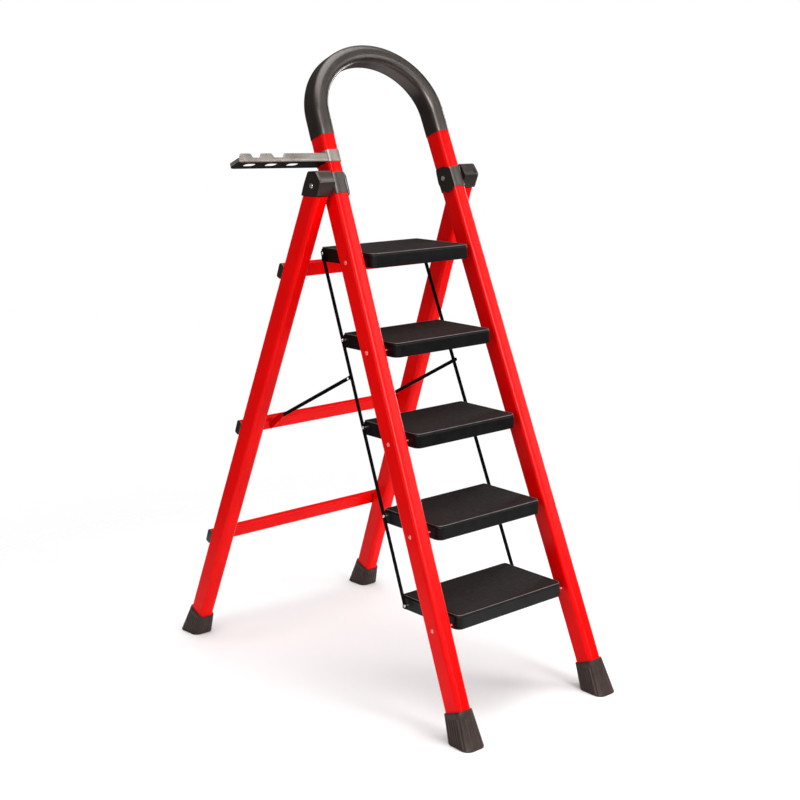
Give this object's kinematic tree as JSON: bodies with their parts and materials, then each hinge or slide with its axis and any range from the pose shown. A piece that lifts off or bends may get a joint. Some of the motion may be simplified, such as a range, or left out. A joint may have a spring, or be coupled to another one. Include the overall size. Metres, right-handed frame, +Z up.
{
  "type": "folding step ladder",
  "caption": "Folding step ladder with wide platform treads, an arched padded handrail, splayed tube legs on rubber feet and a clip-on tool hook arm at the side.",
  "frame": {"origin": "on the floor, under the middle of the bounding box", "axes": "+Z up; the climber faces +Y, the climbing side is -Y, +X is to the climber's right"},
  "size_m": [0.8784, 1.1904, 1.7309],
  "materials": {
    "red_paint": "glossy red powder coat on thin steel tube",
    "dark_plastic": "semi-gloss dark warm grey moulded plastic",
    "foot_rubber": "dull brown-black moulded rubber",
    "tread_pan": "satin black painted sheet steel",
    "tread_mat": "fine-grained brown-black anti-slip mat",
    "black_steel": "black painted flat bar",
    "hook_steel": "dark grey painted sheet steel",
    "zinc_fastener": "bright zinc plate"
  },
  "bodies": {
    "front_frame": {"front_upright_left": "red_paint", "front_upright_right": "red_paint", "handrail_tube": "red_paint", "handrail_sleeve": "dark_plastic", "front_foot_left": "foot_rubber", "front_foot_right": "foot_rubber", "hinge_collar_left": "dark_plastic", "hinge_collar_right": "dark_plastic", "hinge_pin_left": "zinc_fastener", "hinge_pin_right": "zinc_fastener", "hook_arm": "hook_steel", "hook_clamp": "hook_steel", "hook_screw": "zinc_fastener", "step_1_pivot_left": "red_paint", "step_1_pivot_right": "red_paint", "step_2_pivot_left": "red_paint", "step_2_pivot_right": "red_paint", "step_3_pivot_left": "red_paint", "step_3_pivot_right": "red_paint", "step_4_pivot_left": "red_paint", "step_4_pivot_right": "red_paint", "step_5_pivot_left": "red_paint", "step_5_pivot_right": "red_paint"},
    "rear_frame": {"rear_upright_left": "red_paint", "rear_upright_right": "red_paint", "rear_foot_left": "foot_rubber", "rear_foot_right": "foot_rubber", "hinge_cap_left": "dark_plastic", "hinge_cap_right": "dark_plastic", "crossbar_top": "red_paint", "crossbar_middle": "red_paint", "crossbar_bottom": "red_paint", "strut_bracket_left": "red_paint", "strut_bracket_right": "red_paint"},
    "step_1": {"step_1_pan": "tread_pan", "step_1_mat": "tread_mat", "step_1_link_rivet_left": "zinc_fastener", "step_1_link_rivet_right": "zinc_fastener"},
    "step_2": {"step_2_pan": "tread_pan", "step_2_mat": "tread_mat", "step_2_link_rivet_left": "zinc_fastener", "step_2_link_rivet_right": "zinc_fastener"},
    "step_3": {"step_3_pan": "tread_pan", "step_3_mat": "tread_mat", "step_3_link_rivet_left": "zinc_fastener", "step_3_link_rivet_right": "zinc_fastener"},
    "step_4": {"step_4_pan": "tread_pan", "step_4_mat": "tread_mat", "step_4_link_rivet_left": "zinc_fastener", "step_4_link_rivet_right": "zinc_fastener"},
    "step_5": {"step_5_pan": "tread_pan", "step_5_mat": "tread_mat", "step_5_link_rivet_left": "zinc_fastener", "step_5_link_rivet_right": "zinc_fastener"},
    "link_left": {"link_rod_left": "black_steel", "strut_pin_left": "zinc_fastener"},
    "strut_left": {"strut_left": "black_steel"},
    "link_right": {"link_rod_right": "black_steel", "strut_pin_right": "zinc_fastener"},
    "strut_right": {"strut_right": "black_steel"}
  },
  "joints": [
    {"name": "rear_fold", "type": "hinge", "parent": "front_frame", "child": "rear_frame", "pos_m": [0.07251, 0.01, 1.37], "axis": [1, 0, 0], "range_deg": [-42.5, 0]},
    {"name": "step_1_tilt", "type": "hinge", "parent": "front_frame", "child": "step_1", "pos_m": [0.07251, -0.4388, 0.274], "axis": [1, 0, 0], "range_deg": [0, 63.1]},
    {"name": "step_2_tilt", "type": "hinge", "parent": "front_frame", "child": "step_2", "pos_m": [0.07251, -0.34666, 0.499], "axis": [1, 0, 0], "range_deg": [0, 63.1]},
    {"name": "step_3_tilt", "type": "hinge", "parent": "front_frame", "child": "step_3", "pos_m": [0.07251, -0.25453, 0.724], "axis": [1, 0, 0], "range_deg": [0, 63.1]},
    {"name": "step_4_tilt", "type": "hinge", "parent": "front_frame", "child": "step_4", "pos_m": [0.07251, -0.16239, 0.949], "axis": [1, 0, 0], "range_deg": [0, 63.1]},
    {"name": "step_5_tilt", "type": "hinge", "parent": "front_frame", "child": "step_5", "pos_m": [0.07251, -0.07026, 1.174], "axis": [1, 0, 0], "range_deg": [0, 63.1]},
    {"name": "link_left_swing", "type": "hinge", "parent": "step_3", "child": "link_left", "pos_m": [-0.12009, -0.08453, 0.729], "axis": [1, 0, 0], "range_deg": [-63.1, 0]},
    {"name": "link_right_swing", "type": "hinge", "parent": "step_3", "child": "link_right", "pos_m": [0.26511, -0.08453, 0.729], "axis": [1, 0, 0], "range_deg": [-63.1, 0]},
    {"name": "strut_left_swing", "type": "hinge", "parent": "rear_frame", "child": "strut_left", "pos_m": [-0.12889, 0.26758, 0.70138], "axis": [1, 0, 0], "range_deg": [-42, 0]},
    {"name": "strut_right_swing", "type": "hinge", "parent": "rear_frame", "child": "strut_right", "pos_m": [0.27391, 0.26758, 0.70138], "axis": [1, 0, 0], "range_deg": [-42, 0]}
  ],
  "couplings": [
    {"joint": "step_1_tilt", "follows": "rear_fold", "ratio": -1.4824},
    {"joint": "step_2_tilt", "follows": "rear_fold", "ratio": -1.4824},
    {"joint": "step_3_tilt", "follows": "rear_fold", "ratio": -1.4824},
    {"joint": "step_4_tilt", "follows": "rear_fold", "ratio": -1.4824},
    {"joint": "step_5_tilt", "follows": "rear_fold", "ratio": -1.4824},
    {"joint": "link_left_swing", "follows": "rear_fold", "ratio": 1.4824},
    {"joint": "link_right_swing", "follows": "rear_fold", "ratio": 1.4824},
    {"joint": "strut_left_swing", "follows": "rear_fold", "ratio": 0.98574},
    {"joint": "strut_right_swing", "follows": "rear_fold", "ratio": 0.98574}
  ]
}
